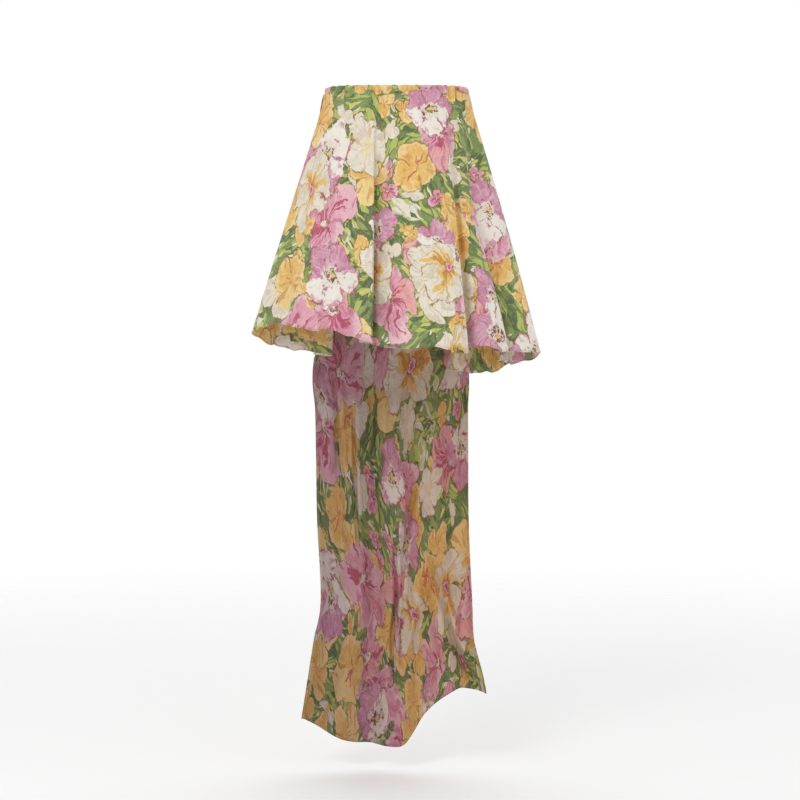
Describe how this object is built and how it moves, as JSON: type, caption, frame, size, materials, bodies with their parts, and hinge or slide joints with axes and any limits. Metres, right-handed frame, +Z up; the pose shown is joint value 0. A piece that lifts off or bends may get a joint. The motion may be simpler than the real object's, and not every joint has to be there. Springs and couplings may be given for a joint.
{
  "type": "strapless dress",
  "caption": "Short flared strapless dress, gathered into an elastic casing round an open neckline, with a long centre-back train hanging on below the short hem.",
  "frame": {"origin": "centre of the neckline's elastic casing, level with its top edge at the centre front and back", "axes": "+Z up, -Y out of the dress's front, +X to the right of the front view, which is the wearer's left"},
  "size_m": [0.6369, 0.6181, 1.5104],
  "materials": {
    "printed_cloth": "light plain-weave cloth with a soft low sheen, printed with large painterly flowers and leaves in pink, cream, gold and green",
    "printed_cloth_train": "the same printed cloth, seen from the front on its duller reverse side"
  },
  "bodies": {
    "root": {"neck_casing": "printed_cloth", "front": "printed_cloth", "side_back_left": "printed_cloth", "side_back_right": "printed_cloth", "train": "printed_cloth_train"}
  },
  "joints": []
}
